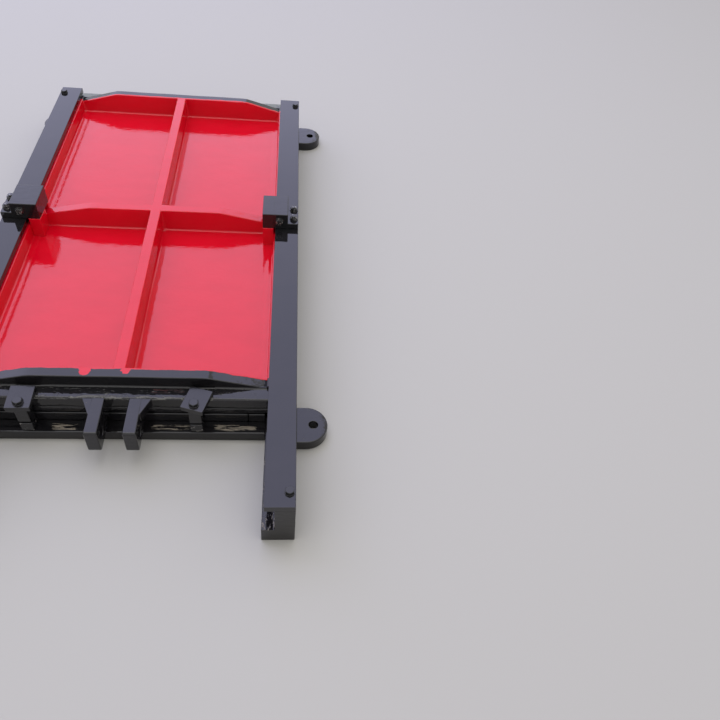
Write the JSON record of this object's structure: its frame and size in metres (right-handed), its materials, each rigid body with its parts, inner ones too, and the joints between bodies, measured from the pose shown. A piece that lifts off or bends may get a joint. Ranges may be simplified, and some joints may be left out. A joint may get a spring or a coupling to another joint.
{
  "type": "cast iron sluice gate",
  "caption": "Wall-mounted sluice gate: a ribbed red leaf slides in two black guides with cover strips, wedges and anchor ears on a flanged frame.",
  "frame": {"origin": "middle of the four anchor holes, on the mounting face", "axes": "+X across the gate, +Y from the gate's top to its bottom along the guides, +Z away from the wall"},
  "size_m": [1.482, 2.581, 0.29],
  "materials": {
    "red_enamel": "thick gloss enamel on cast iron",
    "black_enamel": "thick gloss enamel on cast iron",
    "black_fixings": "gloss enamel over steel bolts",
    "bronze_seal": "machined bronze sealing faces"
  },
  "bodies": {
    "frame": {"frame_side_left": "black_enamel", "frame_side_right": "black_enamel", "frame_top": "black_enamel", "frame_sill": "black_enamel", "guide_left": "black_enamel", "guide_right": "black_enamel", "cover_strip_left": "black_enamel", "cover_strip_right": "black_enamel", "anchor_ear_top_left": "black_enamel", "anchor_ear_top_right": "black_enamel", "anchor_ear_bottom_left": "black_enamel", "anchor_ear_bottom_right": "black_enamel", "wedge_bracket_left": "black_enamel", "wedge_bracket_right": "black_enamel", "bracket_bolts_left": "black_fixings", "bracket_bolts_right": "black_fixings", "strip_bolts_left": "black_fixings", "strip_bolts_right": "black_fixings", "frame_seal_sides": "bronze_seal", "frame_seal_ends": "bronze_seal", "clamp_post_left": "black_enamel", "clamp_post_right": "black_enamel"},
    "leaf": {"leaf_plate": "red_enamel", "leaf_top_bar": "red_enamel", "leaf_bottom_bar": "red_enamel", "rib_top": "red_enamel", "rib_middle": "red_enamel", "rib_bottom": "red_enamel", "upright_rib_upper": "red_enamel", "upright_rib_lower": "red_enamel", "side_rib_left": "red_enamel", "side_rib_right": "red_enamel", "wedge_block_left": "red_enamel", "wedge_block_right": "red_enamel", "lifting_lug_left": "black_enamel", "lifting_lug_right": "black_enamel", "leaf_seal_sides": "bronze_seal", "leaf_seal_ends": "bronze_seal", "clamp_plate_left": "black_enamel", "clamp_plate_right": "black_enamel", "clamp_spacer_left": "black_enamel", "clamp_spacer_right": "black_enamel", "clamp_bolt_left": "black_fixings", "clamp_bolt_right": "black_fixings"}
  },
  "joints": [
    {"name": "leaf_slide", "type": "slide", "parent": "frame", "child": "leaf", "axis": [0, -1, 0], "range_m": [0, 1.85]}
  ]
}
